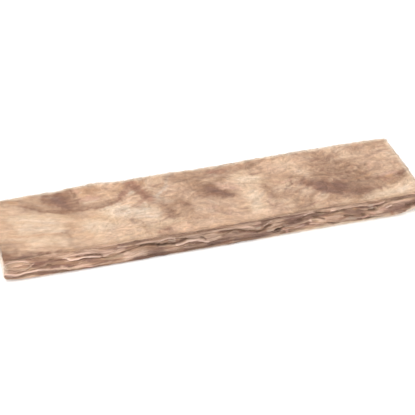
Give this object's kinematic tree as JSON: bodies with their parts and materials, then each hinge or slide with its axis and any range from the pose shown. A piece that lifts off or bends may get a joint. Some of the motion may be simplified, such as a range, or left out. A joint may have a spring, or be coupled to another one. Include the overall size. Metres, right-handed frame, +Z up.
{
  "type": "fiberglass insulation pad",
  "caption": "Long flat pad of layered glass wool insulation with soft cut edges, unfaced, lying on its broad face.",
  "frame": {"origin": "middle of the underside, on the floor the pad lies on", "axes": "+X along the pad's length, +Y across its width, +Z up through its thickness"},
  "size_m": [2.438, 0.61, 0.14],
  "materials": {
    "glass_wool": "matte fibrous wool, cream to pinkish tan, with brown patches of darker binder"
  },
  "bodies": {
    "root": {"insulation_pad": "glass_wool"}
  },
  "joints": []
}
